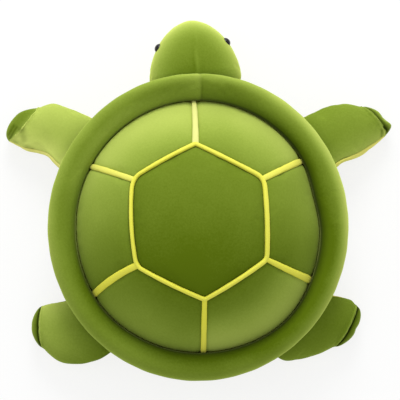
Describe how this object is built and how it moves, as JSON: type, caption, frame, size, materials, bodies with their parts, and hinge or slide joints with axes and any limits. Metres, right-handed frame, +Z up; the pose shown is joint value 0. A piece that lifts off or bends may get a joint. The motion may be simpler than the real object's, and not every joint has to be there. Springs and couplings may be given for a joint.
{
  "type": "plush turtle",
  "caption": "Round stuffed turtle cushion: domed panelled shell with taped seams, padded rim, turned head with bead eyes and floppy limbs.",
  "frame": {"origin": "centre of the belly's flat face, on the floor that the turtle rests on", "axes": "+Z up, -Y towards the head, +X towards the turtle's left side"},
  "size_m": [0.5862, 0.5467, 0.2],
  "materials": {
    "velour_green": "short-pile velour with a soft sheen",
    "velour_lime": "short-pile velour, nap brushed light",
    "velour_yellow": "short-pile velour with a soft sheen",
    "tape_yellow": "folded velour tape",
    "fibre_filling": "polyester fibre wadding",
    "eye_black": "polished black",
    "washer_plastic": "moulded"
  },
  "bodies": {
    "torso": {"belly_panel": "velour_yellow", "body_filling": "fibre_filling", "shell_hexagon_panel": "velour_green", "hexagon_tape": "tape_yellow", "shell_panel_1": "velour_green", "spoke_tape_1": "tape_yellow", "shell_panel_2": "velour_green", "spoke_tape_2": "tape_yellow", "shell_panel_3": "velour_green", "spoke_tape_3": "tape_yellow", "shell_panel_4": "velour_green", "spoke_tape_4": "tape_yellow", "shell_panel_5": "velour_green", "spoke_tape_5": "tape_yellow", "shell_panel_6": "velour_green", "spoke_tape_6": "tape_yellow", "rim_upper_cover": "velour_green", "rim_lower_cover": "velour_green", "rim_filling": "fibre_filling"},
    "neck": {"neck_filling": "fibre_filling"},
    "head": {"head_left_panel": "velour_green", "head_right_panel": "velour_green", "head_under_panel": "velour_yellow", "head_filling": "fibre_filling", "eye_left": "eye_black", "eye_right": "eye_black", "eye_washer_left": "washer_plastic", "eye_washer_right": "washer_plastic"},
    "front_left_limb": {"front_left_limb_top": "velour_lime", "front_left_limb_under": "velour_yellow", "front_left_limb_sole": "velour_green", "front_left_limb_filling": "fibre_filling"},
    "front_right_limb": {"front_right_limb_top": "velour_lime", "front_right_limb_under": "velour_yellow", "front_right_limb_sole": "velour_green", "front_right_limb_filling": "fibre_filling"},
    "rear_left_limb": {"rear_left_limb_top": "velour_lime", "rear_left_limb_under": "velour_yellow", "rear_left_limb_sole": "velour_green", "rear_left_limb_filling": "fibre_filling"},
    "rear_right_limb": {"rear_right_limb_top": "velour_lime", "rear_right_limb_under": "velour_yellow", "rear_right_limb_sole": "velour_green", "rear_right_limb_filling": "fibre_filling"}
  },
  "joints": [
    {"name": "neck_turn", "type": "hinge", "parent": "torso", "child": "neck", "pos_m": [0.0035, -0.2205, 0.048], "axis": [0, 0, 1], "range_deg": [-19, 8], "stiffness_Nm_per_rad": 0.5},
    {"name": "head_nod", "type": "hinge", "parent": "neck", "child": "head", "pos_m": [0.0035, -0.2205, 0.048], "axis": [-0.9959, -0.0906, 0], "range_deg": [-20, 6], "stiffness_Nm_per_rad": 0.6},
    {"name": "front_left_flap", "type": "hinge", "parent": "torso", "child": "front_left_limb", "pos_m": [0.14975, -0.12033, 0.07], "axis": [-0.6046, -0.7966, 0], "range_deg": [-35, 12], "stiffness_Nm_per_rad": 0.35},
    {"name": "front_right_flap", "type": "hinge", "parent": "torso", "child": "front_right_limb", "pos_m": [-0.14975, -0.12033, 0.07], "axis": [-0.6046, 0.7966, 0], "range_deg": [-35, 12], "stiffness_Nm_per_rad": 0.35},
    {"name": "rear_left_flap", "type": "hinge", "parent": "torso", "child": "rear_left_limb", "pos_m": [0.14123, 0.13078, 0.07], "axis": [0.6584, -0.7527, 0], "range_deg": [-35, 12], "stiffness_Nm_per_rad": 0.35},
    {"name": "rear_right_flap", "type": "hinge", "parent": "torso", "child": "rear_right_limb", "pos_m": [-0.14123, 0.13078, 0.07], "axis": [0.6584, 0.7527, 0], "range_deg": [-35, 12], "stiffness_Nm_per_rad": 0.35}
  ]
}
